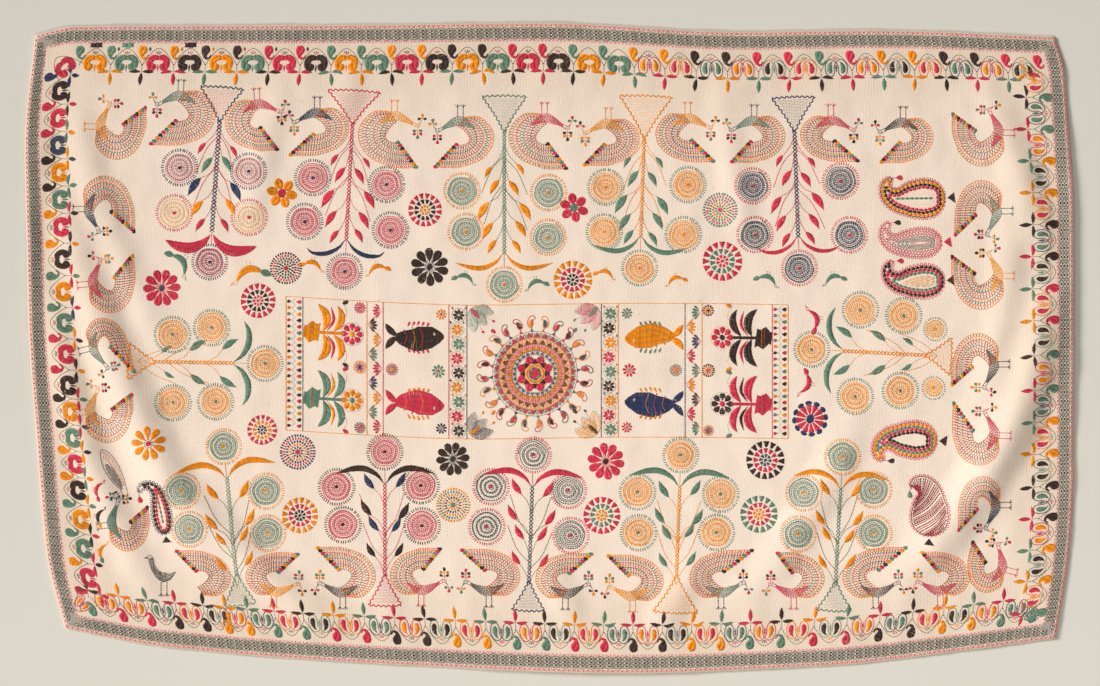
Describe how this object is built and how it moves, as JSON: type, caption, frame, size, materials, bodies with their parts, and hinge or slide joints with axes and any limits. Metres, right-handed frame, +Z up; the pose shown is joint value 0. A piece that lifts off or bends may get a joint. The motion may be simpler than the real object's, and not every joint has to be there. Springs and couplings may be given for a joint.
{
  "type": "kantha quilt",
  "caption": "Light quilted and embroidered cotton coverlet, laid out face up with bowed edges and soft folds towards its sides.",
  "frame": {"origin": "on the surface the quilt lies on, under the middle of its bounding box", "axes": "+X along the long side, +Y across the width towards the far edge, +Z up through the embroidered face"},
  "size_m": [1.8036, 1.1184, 0.022],
  "materials": {
    "quilt_cotton": "matt quilted cotton, embroidered in coloured thread"
  },
  "bodies": {
    "root": {"quilt": "quilt_cotton"}
  },
  "joints": []
}
